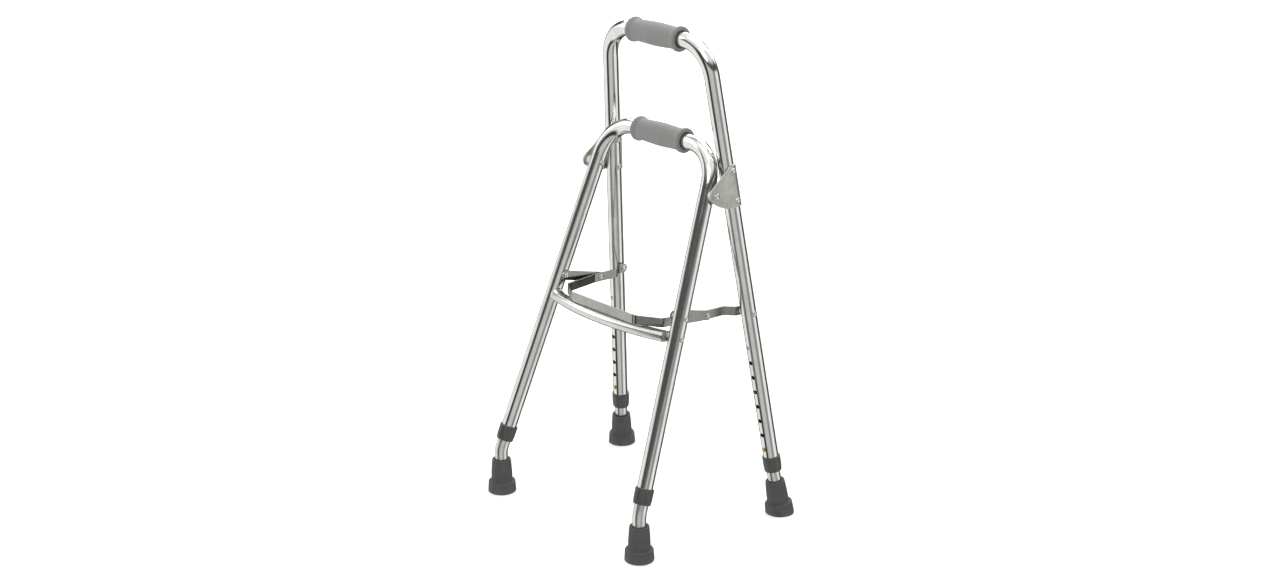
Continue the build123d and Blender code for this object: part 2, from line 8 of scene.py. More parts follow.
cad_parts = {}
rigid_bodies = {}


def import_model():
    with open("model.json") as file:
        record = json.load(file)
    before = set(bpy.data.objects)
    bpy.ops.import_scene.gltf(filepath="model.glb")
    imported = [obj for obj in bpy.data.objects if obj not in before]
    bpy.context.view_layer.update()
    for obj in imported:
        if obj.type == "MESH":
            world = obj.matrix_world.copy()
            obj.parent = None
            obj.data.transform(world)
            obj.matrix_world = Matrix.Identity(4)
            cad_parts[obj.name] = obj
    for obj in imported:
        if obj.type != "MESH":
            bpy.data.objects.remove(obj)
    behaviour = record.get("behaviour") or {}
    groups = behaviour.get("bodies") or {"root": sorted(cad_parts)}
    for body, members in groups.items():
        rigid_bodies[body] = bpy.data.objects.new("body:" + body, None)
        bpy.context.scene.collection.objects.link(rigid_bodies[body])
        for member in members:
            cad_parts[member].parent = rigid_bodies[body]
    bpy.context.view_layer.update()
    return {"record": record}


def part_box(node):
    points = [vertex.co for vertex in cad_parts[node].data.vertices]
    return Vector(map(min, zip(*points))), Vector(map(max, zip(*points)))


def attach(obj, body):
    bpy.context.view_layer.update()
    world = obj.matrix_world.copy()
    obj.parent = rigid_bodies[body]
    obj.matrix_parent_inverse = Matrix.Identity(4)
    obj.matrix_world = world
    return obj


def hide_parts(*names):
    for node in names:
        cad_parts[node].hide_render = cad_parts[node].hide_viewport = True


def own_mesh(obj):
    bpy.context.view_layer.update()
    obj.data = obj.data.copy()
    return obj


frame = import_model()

bl_info = {
    "name": "Folding Side Walking Frame",
    "version": (1, 0, 0),
    "blender": (4, 5, 0),
    "location": "View3D > Sidebar > Walking Frame",
    "description": "Builds the visible pieces, finishes and studio of a folding side walking frame",
    "category": "Object",
}

MM = 0.001
LEG_TAGS = ("tall_left", "tall_right", "short_left", "short_right")
BUTTON_HEIGHT = {"tall": 115.5 * MM, "short": 130.0 * MM}   # snap button above the floor
SHORT_BEND_HEIGHT = 75.0 * MM                               # the short inner legs turn upright here

# Mesh cleaning: points nearer than this are one point, and faces smaller than this are none.
WELD = 1e-6
WELD_FINE = 1e-7
NO_AREA = 1e-14

# Hand grips
GRIP_SLACK = 0.1 * MM           # bore over the tube
GRIP_FLANGE_RISE = 1.2 * MM     # end flange over the middle swell
GRIP_NECK_DROP = 1.4 * MM       # neck under the middle swell
GRIP_FLANGE_WIDTH = 9.5 * MM    # end face to where the neck begins
GRIP_ROUND = 2.4 * MM           # rounded edge of a flange
GRIP_SWELL_STEPS = 22

# Rubber tips
TIP_SLACK = 0.08 * MM           # socket over the inner leg
TIP_WALL = 4.4 * MM             # rubber round the socket
TIP_SOCKET_FLOOR = 13.6 * MM    # bottom of the socket above the sole
TIP_RING_TOP = 16.8 * MM        # top of the base ring
TIP_ROUND = 1.6 * MM            # rounded edges
TIP_CUT_DEPTH = 7 * MM          # a leaning tip runs on this far, and is then cut level with the floor

# Collars
COLLAR_DROP = 15.5 * MM         # snap button to the collar's top edge
COLLAR_SLACK = 0.05 * MM        # bore over the outer leg
COLLAR_GUIDE_SLACK = 0.12 * MM  # end guide over the inner leg
COLLAR_SEAT = 2.95 * MM         # the outer leg's end, above the collar's foot
COLLAR_RIM_ROUND = 0.7 * MM
COLLAR_FOOT_ROUND = 1.44 * MM
COLLAR_TAB = (2.4 * MM, 6.5 * MM, 18 * MM)      # moulded tab: depth, width and length
COLLAR_TAB_ROUND = 0.8 * MM

# Snap buttons
BUTTON_FLANGE = (4.8 * MM, 7.3 * MM, 8.3 * MM)  # its radius, and its two faces from the leg axis
BUTTON_STAND = 2.4 * MM         # crown over the outer leg
BUTTON_ROUND = 1.3 * MM         # rounded edge of the crown

# V clips behind the buttons: distances out from the leg axis, and along the leg from the button
CLIP_NEAR = 6.95 * MM           # leaf under the button
CLIP_NEAR_END = -7 * MM
CLIP_BEND = 5.45 * MM           # radius of the bend
CLIP_BEND_RISE = 27.5 * MM
CLIP_BEND_TURN = 165            # degrees
CLIP_FAR = -8.0 * MM            # end that bears on the far wall
CLIP_FAR_END = 4 * MM
CLIP_WIDTH = 8.0 * MM
CLIP_THICKNESS = 0.6 * MM

# Colours that the settings don't hold, as sRGB hex text
RUBBED_METAL = "#E9E9E4"
RIVET_BRIGHT = "#DEDED8"
RIVET_DULL = "#A8A8A2"
BOW_STEEL = "#D2D2CD"
SATIN_STEEL = "#AEAEA9"
INSERT_ZINC = "#9A9A92"
BLUED_STEEL = "#55585C"
BRASS_TARNISH = "#8A6A3A"
NYLON_PALE = "#D9D7CE"
NYLON_DEEP = "#C4C1B6"
FLOOR_DUST = "#6E6C67"
DUST_HEIGHT = 14 * MM           # floor dust on the tips: how high, and how much at the bottom
DUST_AMOUNT = 0.5
OWN_FINISH = {"bow_bar": "bow_steel"}           # a node whose finish is brighter than the rest of its slot

# Studio
CAMERA_PLACE = (2.2637, -2.0042, 1.3969)
CAMERA_AIM = (0.0, 0.0118, 0.3608)
CAMERA_LENS = 55.7      # focal length in mm, on a sensor 36 mm wide
CAMERA_SENSOR = 36
CAMERA_SIDE = -41.5     # degrees round from +X to the camera
SURROUND = (            # degrees round from the camera's side, and brightness
    (-180, 0.05), (-152, 0.05), (-142, 0.6), (-128, 1.15), (-76, 1.15), (-64, 0.05), (-42, 0.05), (-32, 0.65),
    (-12, 0.75), (16, 0.75), (26, 0.35), (44, 0.35), (56, 1.15), (92, 1.15), (101, 0.05), (126, 0.05),
    (138, 0.6), (154, 0.6), (162, 0.05), (180, 0.05),
)
CEILING = ((0.0, 0.1), (0.42, 0.1), (0.6, 1.1), (1.0, 1.1))    # height of the direction, and brightness
CEILING_BLEND = (0.14, 0.24)    # heights of the direction between which the wall gives way to the ceiling
BACKDROP = (0.95, 0.95, 0.95, 1.0)
FLOOR_RADIUS = 14.0
LAMPS = (               # name, place, aim, watts, width
    ("key_light", (1.9, -2.6, 3.2), (0, 0, 0.4), 44, 1.8),
    ("fill_light", (-2.8, -1.6, 2.2), (0, 0, 0.4), 24, 2.0),
    ("back_light", (0.6, 3.0, 2.8), (0, 0, 0.4), 34, 2.2),
    ("top_light", (0.0, 0.0, 4.2), (0, 0, 0.4), 46, 3.4),
    ("backdrop_light", (-3.4, 3.2, 3.4), (-3.6, 3.4, 0.0), 260, 4.0),
)


# ---------------------------------------------------------------- sizes and colours

class WALKER_PG_sizes(bpy.types.PropertyGroup):
    """Sizes of the pieces made here, in metres."""
    grip_length: bpy.props.FloatProperty(
        name="Grip length", description="Length of a hand grip over its end flanges",
        default=112 * MM, min=0.08, max=0.14, subtype="DISTANCE", unit="LENGTH")
    grip_radius: bpy.props.FloatProperty(
        name="Grip radius", description="Radius of a hand grip at its middle swell",
        default=19.0 * MM, min=0.015, max=0.025, subtype="DISTANCE", unit="LENGTH")
    tube_radius: bpy.props.FloatProperty(
        name="Tube radius", description="Outside radius of the bent frame tubes",
        default=12.7 * MM, min=0.01, max=0.02, subtype="DISTANCE", unit="LENGTH")
    inner_radius: bpy.props.FloatProperty(
        name="Inner leg radius", description="Outside radius of the sliding inner legs",
        default=11.1 * MM, min=0.008, max=0.018, subtype="DISTANCE", unit="LENGTH")
    tip_height: bpy.props.FloatProperty(
        name="Tip height", description="Height of a rubber tip",
        default=58.0 * MM, min=0.04, max=0.08, subtype="DISTANCE", unit="LENGTH")
    tip_radius: bpy.props.FloatProperty(
        name="Tip base radius", description="Radius of a rubber tip's base ring",
        default=23.5 * MM, min=0.018, max=0.03, subtype="DISTANCE", unit="LENGTH")
    collar_height: bpy.props.FloatProperty(
        name="Collar height", description="Height of the collar at the end of an outer leg",
        default=26.0 * MM, min=0.015, max=0.04, subtype="DISTANCE", unit="LENGTH")
    collar_radius: bpy.props.FloatProperty(
        name="Collar radius", description="Outside radius of a collar",
        default=14.9 * MM, min=0.0135, max=0.02, subtype="DISTANCE", unit="LENGTH")
    button_radius: bpy.props.FloatProperty(
        name="Button radius", description="Radius of a snap button",
        default=3.4 * MM, min=0.002, max=0.005, subtype="DISTANCE", unit="LENGTH")


class WALKER_PG_finishes(bpy.types.PropertyGroup):
    """Colours of the finishes, as sRGB hex text."""
    tube: bpy.props.StringProperty(
        name="Tube", description="Polished aluminium tube colour", default="#DCDCD8")
    extension: bpy.props.StringProperty(
        name="Inner leg", description="Satin aluminium inner leg colour", default="#D9D9D4")
    grip: bpy.props.StringProperty(
        name="Grip", description="Moulded vinyl grip colour", default="#737371")
    plate: bpy.props.StringProperty(
        name="Plate", description="Nickel-plated steel colour", default="#C2C2BC")
    strap: bpy.props.StringProperty(
        name="Strap", description="Plated steel brace colour", default="#8E8E8A")
    collar: bpy.props.StringProperty(
        name="Collar", description="Moulded collar colour", default="#3A3A39")
    tip: bpy.props.StringProperty(
        name="Tip", description="Rubber tip colour", default="#404040")
    brass: bpy.props.StringProperty(
        name="Brass", description="Snap button colour", default="#C9A468")
    floor: bpy.props.StringProperty(
        name="Floor", description="Studio floor colour", default="#F6F6F5")


def sizes():
    return bpy.context.scene.walker_sizes


def finishes():
    return bpy.context.scene.walker_finishes


# ---------------------------------------------------------------- where things are

def joint(name):
    found = [j for j in frame["record"]["behaviour"]["joints"] if j["name"] == name]
    return found[0]


def foot_of(tag):
    """Where a leg's axis meets the floor."""
    found = [m for m in frame["record"]["mounts"] if m["name"] == f"foot_{tag}"]
    return Vector(found[0]["pos_m"])


def leg_up(tag):
    return -Vector(joint(f"leg_slide_{tag}")["axis"]).normalized()


def leg_at(tag, height):
    """A point on the sloping leg axis at a height above the floor."""
    start = foot_of(tag)
    if tag.startswith("short"):
        start = start + Vector((0, 0, SHORT_BEND_HEIGHT))
    up = leg_up(tag)
    return start + up * ((height - start.z) / up.z)


def button_way(tag):
    """Outward direction of a leg's adjusting holes."""
    return -Vector(joint(f"button_press_{tag}")["axis"]).normalized()


def placed(origin, up, forward=None):
    """A matrix that puts local z along up and local x toward forward."""
    z = Vector(up).normalized()
    if forward is None:
        forward = (1, 0, 0) if abs(z.x) < 0.9 else (0, 1, 0)
    guide = Vector(forward)
    x = (guide - z * guide.dot(z)).normalized()
    y = z.cross(x)
    return Matrix.Translation(origin) @ Matrix((x, y, z)).transposed().to_4x4()


# ---------------------------------------------------------------- mesh helpers

def new_piece(name, bm, body, material, smooth_angle):
    """Turn a finished bmesh into a piece that rides on a body.

    Edges that turn by more than smooth_angle degrees stay crisp.
    """
    bmesh.ops.remove_doubles(bm, verts=bm.verts, dist=WELD)
    mesh = bpy.data.meshes.new(name)
    for face in bm.faces:
        face.smooth = True
    sharp = math.radians(smooth_angle)
    for edge in bm.edges:
        edge.smooth = len(edge.link_faces) == 2 and edge.calc_face_angle(0.0) < sharp
    bm.to_mesh(mesh)
    bm.free()
    piece = bpy.data.objects.new(name, mesh)
    bpy.context.scene.collection.objects.link(piece)
    mesh.materials.append(material)
    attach(piece, body)
    return piece


def arc(centre, radius, start, end, steps):
    """Points of (radius, height) on a round. Angles are in degrees."""
    found = []
    for i in range(steps + 1):
        a = math.radians(start + (end - start) * i / steps)
        found.append((centre[0] + radius * math.cos(a), centre[1] + radius * math.sin(a)))
    return found


def turned(profile, steps):
    """Turn a profile of (radius, height) about local z. One that starts off the axis is closed on itself."""
    bm = bmesh.new()
    rim = [bm.verts.new((r, 0.0, h)) for r, h in profile]
    edges = [bm.edges.new((a, b)) for a, b in zip(rim, rim[1:])]
    if profile[0][0] > 0:
        edges.append(bm.edges.new((rim[-1], rim[0])))
    bmesh.ops.spin(bm, geom=rim + edges, cent=(0, 0, 0), axis=(0, 0, 1), dvec=(0, 0, 0),
                   angle=math.tau, steps=steps, use_merge=True, use_duplicate=False)
    bmesh.ops.remove_doubles(bm, verts=bm.verts, dist=WELD_FINE)
    flat = [f for f in bm.faces if f.calc_area() < NO_AREA]
    bmesh.ops.delete(bm, geom=flat, context="FACES")
    bmesh.ops.recalc_face_normals(bm, faces=bm.faces)
    return bm


def joined(*parts):
    """One bmesh from several."""
    whole = bmesh.new()
    for part in parts:
        mesh = bpy.data.meshes.new("joining")
        part.to_mesh(mesh)
        part.free()
        whole.from_mesh(mesh)
        bpy.data.meshes.remove(mesh)
    return whole


def rounded_block(size, centre, bevel):
    bm = bmesh.new()
    bmesh.ops.create_cube(bm, size=1.0)
    bmesh.ops.scale(bm, vec=size, verts=bm.verts)
    bmesh.ops.bevel(bm, geom=bm.edges[:], offset=bevel, offset_type="OFFSET", segments=3,
                    profile=0.5, affect="EDGES", material=-1, clamp_overlap=True)
    bmesh.ops.translate(bm, vec=centre, verts=bm.verts)
    return bm


# ---------------------------------------------------------------- materials

def colour(hex_text, dim=1.0):
    """An sRGB hex value as linear RGBA."""
    text = hex_text.lstrip("#")
    found = []
    for i in (0, 2, 4):
        v = int(text[i:i + 2], 16) / 255
        v = v / 12.92 if v <= 0.04045 else ((v + 0.055) / 1.055) ** 2.4
        found.append(v * dim)
    return (*found, 1.0)


def add_node(tree, kind, settings=None, links=None, ramp=None):
    """Add a node, set its properties and input values, link its inputs and fill its ramp of greys."""
    node = tree.nodes.new(kind)
    for key, value in (settings or {}).items():
        if isinstance(key, int) or key in node.inputs:
            node.inputs[key].default_value = value
        else:
            setattr(node, key, value)
    if ramp:
        elements = node.color_ramp.elements
        while len(elements) < len(ramp):
            elements.new(0.5)
        for element, (place, value) in zip(elements, ramp):
            element.position = place
            element.color = (value, value, value, 1.0)
    for key, source in (links or {}).items():
        tree.links.new(source, node.inputs[key])
    return node


def start_material(name, **shader):
    """A material with its shader, its object coordinates and an empty node tree beyond them."""
    material = bpy.data.materials.new(name)
    material.use_nodes = True
    tree = material.node_tree
    tree.nodes.clear()
    surface = add_node(tree, "ShaderNodeBsdfPrincipled", {k.replace("_", " "): v for k, v in shader.items()})
    add_node(tree, "ShaderNodeOutputMaterial", links={"Surface": surface.outputs["BSDF"]})
    where = add_node(tree, "ShaderNodeTexCoord").outputs["Object"]
    return material, tree, surface, where


def clouded(tree, surface, where, size, tones, roughness, stretch=(1, 1, 1), spread=(0.3, 0.7)):
    """Two tones and a range of roughness that drift over the surface in patches about size metres across."""
    per_metre = [1 / (size * s) for s in stretch]
    place = add_node(tree, "ShaderNodeMapping", {"Scale": per_metre}, {"Vector": where})
    patches = add_node(tree, "ShaderNodeTexNoise", {"Scale": 1.0, "Detail": 4.0, "Roughness": 0.6},
                       {"Vector": place.outputs["Vector"]})
    amount = add_node(tree, "ShaderNodeMapRange", {"From Min": spread[0], "From Max": spread[1]},
                      {"Value": patches.outputs["Fac"]})
    tone = add_node(tree, "ShaderNodeMix", {"data_type": "RGBA", 6: tones[0], 7: tones[1]},
                    {0: amount.outputs["Result"]})
    rough = add_node(tree, "ShaderNodeMapRange", {"To Min": roughness[0], "To Max": roughness[1]},
                     {"Value": amount.outputs["Result"]})
    tree.links.new(tone.outputs[2], surface.inputs["Base Color"])
    tree.links.new(rough.outputs["Result"], surface.inputs["Roughness"])
    return amount.outputs["Result"]


def grained(tree, surface, where, size, strength, depth, stretch=(1, 1, 1)):
    """Relief about size metres across and depth metres deep, laid over the relief that is there already."""
    per_metre = [1 / (size * s) for s in stretch]
    place = add_node(tree, "ShaderNodeMapping", {"Scale": per_metre}, {"Vector": where})
    relief = add_node(tree, "ShaderNodeTexNoise", {"Scale": 1.0, "Detail": 3.0, "Roughness": 0.55},
                      {"Vector": place.outputs["Vector"]})
    bump = add_node(tree, "ShaderNodeBump", {"Strength": strength, "Distance": depth},
                    {"Height": relief.outputs["Fac"]})
    below = surface.inputs["Normal"]
    if below.is_linked:
        tree.links.new(below.links[0].from_socket, bump.inputs["Normal"])
    tree.links.new(bump.outputs["Normal"], below)


def rubbed_edges(tree, surface, radius, tone):
    """Brighter metal where edges of about this radius have rubbed."""
    skin = surface.inputs["Base Color"]
    rounded = add_node(tree, "ShaderNodeBevel", {"samples": 6, "Radius": radius})
    own = add_node(tree, "ShaderNodeNewGeometry")
    turn = add_node(tree, "ShaderNodeVectorMath", {"operation": "DOT_PRODUCT"},
                    {0: rounded.outputs["Normal"], 1: own.outputs["Normal"]})
    # 1 on open faces, and less where the rounded normal turns at an edge
    amount = add_node(tree, "ShaderNodeMapRange",
                      {"From Min": 0.75, "From Max": 0.98, "To Min": 1.0, "To Max": 0.0},
                      {"Value": turn.outputs["Value"]})
    rubbed = add_node(tree, "ShaderNodeMix", {"data_type": "RGBA", 7: tone},
                      {0: amount.outputs["Result"], 6: skin.links[0].from_socket})
    tree.links.new(rubbed.outputs[2], skin)


def polished_aluminium():
    """6063 aluminium tube, drawn then buffed bright: clear streaks, a soft haze and faint die lines."""
    base = finishes().tube
    material, tree, surface, where = start_material("Aluminium tube, drawn and buffed", Metallic=1.0)
    clouded(tree, surface, where, size=30 * MM, tones=(colour(base), colour(base, 0.88)),
            roughness=(0.08, 0.17))
    # die lines 0.7 mm apart, then handling marks
    grained(tree, surface, where, size=0.7 * MM, strength=0.10, depth=0.03 * MM, stretch=(1, 1, 90))
    grained(tree, surface, where, size=3.2 * MM, strength=0.05, depth=0.05 * MM, stretch=(1, 1, 5))
    return material


def satin_aluminium():
    """Inner leg tube, clear anodised: an even grey sheen, with slide marks along its length."""
    base = finishes().extension
    material, tree, surface, where = start_material("Aluminium leg, satin anodised", Metallic=1.0)
    clouded(tree, surface, where, size=2.6 * MM, tones=(colour(base), colour(base, 0.8)),
            roughness=(0.24, 0.36), stretch=(1, 1, 9), spread=(0.4, 0.7))
    grained(tree, surface, where, size=0.5 * MM, strength=0.12, depth=0.03 * MM, stretch=(1, 1, 60))
    return material


def plated_steel(name, base, roughness, grain=(1, 30, 1), dim=0.82):
    """Pressed steel with a plated skin: fine rolling grain, clouded plate and brighter rubbed edges."""
    material, tree, surface, where = start_material(name, Metallic=1.0)
    clouded(tree, surface, where, size=16 * MM, tones=(colour(base), colour(base, dim)), roughness=roughness)
    rubbed_edges(tree, surface, radius=0.8 * MM, tone=colour(RUBBED_METAL))
    # rolling grain, then pits under the plate
    grained(tree, surface, where, size=0.6 * MM, strength=0.14, depth=0.03 * MM, stretch=grain)
    grained(tree, surface, where, size=1.1 * MM, strength=0.06, depth=0.04 * MM)
    return material


def rivet_steel():
    """Semi-tubular steel rivets, bright nickel: small turned heads with the marks of the setting tool."""
    material, tree, surface, where = start_material("Steel rivet, bright nickel", Metallic=1.0)
    clouded(tree, surface, where, size=3 * MM, tones=(colour(RIVET_BRIGHT), colour(RIVET_DULL)),
            roughness=(0.18, 0.34))
    grained(tree, surface, where, size=0.7 * MM, strength=0.12, depth=0.05 * MM)
    return material


def moulded_vinyl():
    """Moulded vinyl grip: eggshell skin with a fine spark-eroded grain, a little paler in patches."""
    base = finishes().grip
    material, tree, surface, where = start_material(
        "Vinyl grip, moulded", Specular_IOR_Level=0.35, Sheen_Weight=0.12, Sheen_Roughness=0.6)
    clouded(tree, surface, where, size=7 * MM, tones=(colour(base), colour(base, 1.14)),
            roughness=(0.6, 0.76))
    grained(tree, surface, where, size=0.55 * MM, strength=0.35, depth=0.10 * MM)
    grained(tree, surface, where, size=2.4 * MM, strength=0.18, depth=0.12 * MM)
    return material


def tip_rubber():
    """Grey-black filled natural rubber: matt and mould-grained, with pale floor dust low down."""
    base = finishes().tip
    material, tree, surface, where = start_material("Rubber tip, moulded", Specular_IOR_Level=0.3)
    cloud = clouded(tree, surface, where, size=12 * MM, tones=(colour(base), colour(base, 1.3)),
                    roughness=(0.58, 0.74))
    height = add_node(tree, "ShaderNodeSeparateXYZ", links={"Vector": where})
    low = add_node(tree, "ShaderNodeMapRange",
                   {"From Min": 0.0, "From Max": DUST_HEIGHT, "To Min": DUST_AMOUNT, "To Max": 0.0},
                   {"Value": height.outputs["Z"]})
    amount = add_node(tree, "ShaderNodeMath", {"operation": "MULTIPLY"}, {0: low.outputs["Result"], 1: cloud})
    skin = surface.inputs["Base Color"]
    dusty = add_node(tree, "ShaderNodeMix", {"data_type": "RGBA", 7: colour(FLOOR_DUST)},
                     {0: amount.outputs[0], 6: skin.links[0].from_socket})
    tree.links.new(dusty.outputs[2], skin)
    grained(tree, surface, where, size=0.7 * MM, strength=0.3, depth=0.09 * MM)
    return material


def collar_plastic():
    """Glass-filled nylon collar: semi-matt, with faint flow marks from the mould."""
    base = finishes().collar
    material, tree, surface, where = start_material("Nylon collar, moulded", Specular_IOR_Level=0.45)
    clouded(tree, surface, where, size=5 * MM, tones=(colour(base), colour(base, 1.25)),
            roughness=(0.38, 0.5), stretch=(1, 1, 3))
    grained(tree, surface, where, size=0.5 * MM, strength=0.15, depth=0.05 * MM)
    grained(tree, surface, where, size=5 * MM, strength=0.08, depth=0.2 * MM)
    return material


def turned_brass():
    """Turned brass button: warm and bright on the crown, with brown tarnish in patches."""
    base = finishes().brass
    material, tree, surface, where = start_material("Brass button, turned", Metallic=1.0)
    clouded(tree, surface, where, size=2.2 * MM, tones=(colour(base), colour(BRASS_TARNISH)),
            roughness=(0.2, 0.36))
    grained(tree, surface, where, size=0.4 * MM, strength=0.1, depth=0.03 * MM)
    return material


def natural_nylon():
    """Natural nylon spacer: milky and slightly waxy."""
    material, tree, surface, where = start_material("Nylon spacer, natural", Subsurface_Weight=0.12)
    clouded(tree, surface, where, size=4 * MM, tones=(colour(NYLON_PALE), colour(NYLON_DEEP)),
            roughness=(0.4, 0.55))
    grained(tree, surface, where, size=0.8 * MM, strength=0.1, depth=0.05 * MM)
    return material


def floor_paint():
    """Matt floor paint: nearly white, with a faint unevenness and no gloss."""
    base = finishes().floor
    material, tree, surface, where = start_material("Studio floor, matt painted", Specular_IOR_Level=0.1)
    clouded(tree, surface, where, size=0.4, tones=(colour(base), colour(base, 0.985)), roughness=(0.85, 0.95))
    return material


def make_materials():
    strap = finishes().strap
    plate = finishes().plate
    along_x = (30, 1, 1)
    along_z = (1, 1, 30)
    return {
        "aluminium_tube": polished_aluminium(),
        "leg_extension": satin_aluminium(),
        "grip": moulded_vinyl(),
        "bracket_steel": plated_steel("Steel bracket, dull nickel", plate, (0.42, 0.55), along_z),
        "rivet_steel": rivet_steel(),
        "washer_nylon": natural_nylon(),
        "brace_steel": plated_steel("Steel strap, nickel over chrome", strap, (0.16, 0.28)),
        "bow_steel": plated_steel("Steel bow bar, bright nickel", BOW_STEEL, (0.2, 0.3), along_x, 0.9),
        "plate_steel": plated_steel("Steel front plate, satin", SATIN_STEEL, (0.34, 0.46), along_x, 0.9),
        "collar_plastic": collar_plastic(),
        "tip_rubber": tip_rubber(),
        "insert_steel": plated_steel("Steel insert, zinc plated", INSERT_ZINC, (0.35, 0.5)),
        "button_brass": turned_brass(),
        "spring_steel": plated_steel("Spring steel, blued", BLUED_STEEL, (0.25, 0.4)),
    }


MATERIALS = {}


def material_for(slot):
    if not MATERIALS:
        MATERIALS.update(make_materials())
    return MATERIALS[slot]


# ---------------------------------------------------------------- operators

class WALKER_OT_cad_finishes(bpy.types.Operator):
    """Give every node of the frame the finish of its material slot"""
    bl_idname = "walker.cad_finishes"
    bl_label = "Finish the tubes, plates and rivets"

    def execute(self, context):
        for entry in frame["record"]["subparts"]:
            node = bpy.data.objects[entry["node"]]
            material = material_for(OWN_FINISH.get(entry["node"], entry["material_slot"]))
            if not node.material_slots:
                node.data.materials.append(material)
            for slot in node.material_slots:
                slot.material = material
        return {"FINISHED"}


class WALKER_OT_grips(bpy.types.Operator):
    """Build the two contoured hand grips on the top bends"""
    bl_idname = "walker.grips"
    bl_label = "Hand grips"

    def execute(self, context):
        size = sizes()
        for which in ("tall", "short"):
            half = size.grip_length / 2
            mid = size.grip_radius
            flange = mid + GRIP_FLANGE_RISE
            neck = mid - GRIP_NECK_DROP
            bore = size.tube_radius + GRIP_SLACK
            end = [(bore, -half + 2.6 * MM), (bore + 1.1 * MM, -half + 1.4 * MM), (bore + 1.6 * MM, -half)]
            end += arc((flange - GRIP_ROUND, -half + GRIP_ROUND), GRIP_ROUND, -90, 0, 7)
            end += arc((flange - GRIP_ROUND, -half + 5.2 * MM), GRIP_ROUND, 0, 50, 5)
            middle = []
            for i in range(GRIP_SWELL_STEPS + 1):
                t = i / GRIP_SWELL_STEPS
                h = (-half + GRIP_FLANGE_WIDTH) * (1 - t) + (half - GRIP_FLANGE_WIDTH) * t
                lift = 0.5 - 0.5 * math.cos(math.tau * t)
                middle.append((neck + (mid - neck) * lift, h))
            other_end = [(r, -h) for r, h in reversed(end)]
            bm = turned(end + middle + other_end, 96)
            low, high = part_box(f"{which}_grip")
            centre = (Vector(low) + Vector(high)) / 2
            bmesh.ops.transform(bm, matrix=placed(centre, (1, 0, 0), (0, 0, 1)), verts=bm.verts)
            piece = new_piece(f"grip_{which}", bm, f"{which}_frame", material_for("grip"), 50)
            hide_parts(f"{which}_grip")
        return {"FINISHED"}


class WALKER_OT_tips(bpy.types.Operator):
    """Build the four rubber tips, each with its base ring"""
    bl_idname = "walker.tips"
    bl_label = "Rubber tips"

    def execute(self, context):
        for tag in LEG_TAGS:
            self.tip(tag)
        return {"FINISHED"}

    def tip(self, tag):
        size = sizes()
        tall = tag.startswith("tall")
        up = leg_up(tag) if tall else Vector((0, 0, 1))
        base, top = size.tip_radius, size.tip_height
        bore = size.inner_radius + TIP_SLACK
        neck = bore + TIP_WALL
        ring = TIP_RING_TOP
        r = TIP_ROUND
        if tall:
            sole = -TIP_CUT_DEPTH
            side = [(0.0, sole), (base - 2.0 * MM, sole), (base - 0.2 * MM, sole + 1 * MM), (base, 2.0 * MM)]
        else:
            side = [(0.0, 0.0), (base - 2.2 * MM, 0.0)]
            side += arc((base - r, r), r, -80, 0, 4)
        # the base ring and the groove over it
        side += [(base - 0.35 * MM, 8 * MM), (base - 0.8 * MM, ring)]
        side += arc((base - 0.8 * MM - r, ring), r, 0, 82, 6)
        side += [(base - 4.0 * MM, ring + 2.0 * MM)]
        side += arc((base - 4.4 * MM, ring + 3.4 * MM), 1.2 * MM, 265, 190, 4)
        # the tapered neck and its rounded mouth
        side += [(neck + 1.9 * MM, top * 0.62), (neck + 0.75 * MM, top - 6.0 * MM)]
        side += [(neck + 0.45 * MM, top - 3.2 * MM)]
        side += arc((neck - 1.2 * MM, top - r), r, 5, 95, 6)
        # the socket
        side += [(bore + 1.0 * MM, top - 0.2 * MM), (bore + 0.1 * MM, top - 1.2 * MM)]
        side += [(bore, top - 3.0 * MM), (bore, TIP_SOCKET_FLOOR), (0.0, TIP_SOCKET_FLOOR)]
        bm = turned(side, 96)
        foot = foot_of(tag)
        bmesh.ops.transform(bm, matrix=placed(foot, up), verts=bm.verts)
        if tall:
            cut = bmesh.ops.bisect_plane(bm, geom=bm.verts[:] + bm.edges[:] + bm.faces[:], dist=WELD_FINE,
                                         plane_co=(0, 0, 0), plane_no=(0, 0, -1), clear_outer=True)
            rim = [e for e in cut["geom_cut"] if isinstance(e, bmesh.types.BMEdge)]
            bmesh.ops.holes_fill(bm, edges=rim, sides=0)
            bmesh.ops.recalc_face_normals(bm, faces=bm.faces)
        piece = new_piece(f"tip_{tag}", bm, f"leg_{tag}", material_for("tip_rubber"), 45)
        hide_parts(f"rubber_tip_{tag}")


